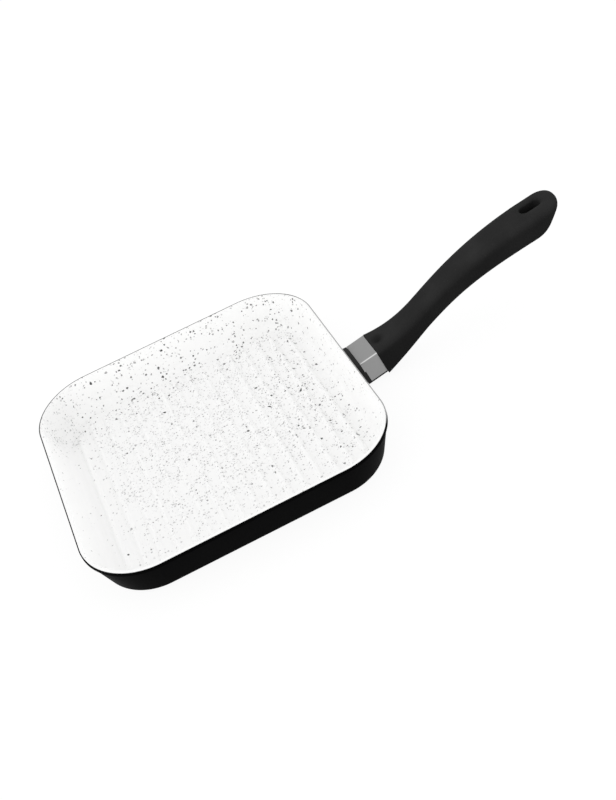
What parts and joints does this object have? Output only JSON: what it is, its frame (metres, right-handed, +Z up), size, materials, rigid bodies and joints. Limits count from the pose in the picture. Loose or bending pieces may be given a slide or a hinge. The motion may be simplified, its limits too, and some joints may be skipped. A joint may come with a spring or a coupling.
{
  "type": "grill pan",
  "caption": "Square grill pan with rounded corners, a ribbed speckled non-stick floor, a black outside and an S-curved black handle joined by a steel flame guard.",
  "frame": {"origin": "middle of the pan's flat base, in the plane it stands on", "axes": "+X from the pan towards the handle, +Z up, +Y across the pan along the ribs"},
  "size_m": [0.4691, 0.26, 0.0891],
  "materials": {
    "pan_exterior": "satin",
    "nonstick_coating": "satin",
    "lug_coating": "satin",
    "guard_steel": "satin",
    "grip_plastic": "matte",
    "fastener_steel": "satin"
  },
  "bodies": {
    "root": {"pan_body": "pan_exterior", "nonstick_coating": "nonstick_coating", "handle_lug": "lug_coating", "threaded_insert": "fastener_steel", "flame_guard": "guard_steel", "handle_grip": "grip_plastic", "flat_washer": "fastener_steel", "spring_washer": "fastener_steel", "handle_screw": "fastener_steel"}
  },
  "joints": []
}
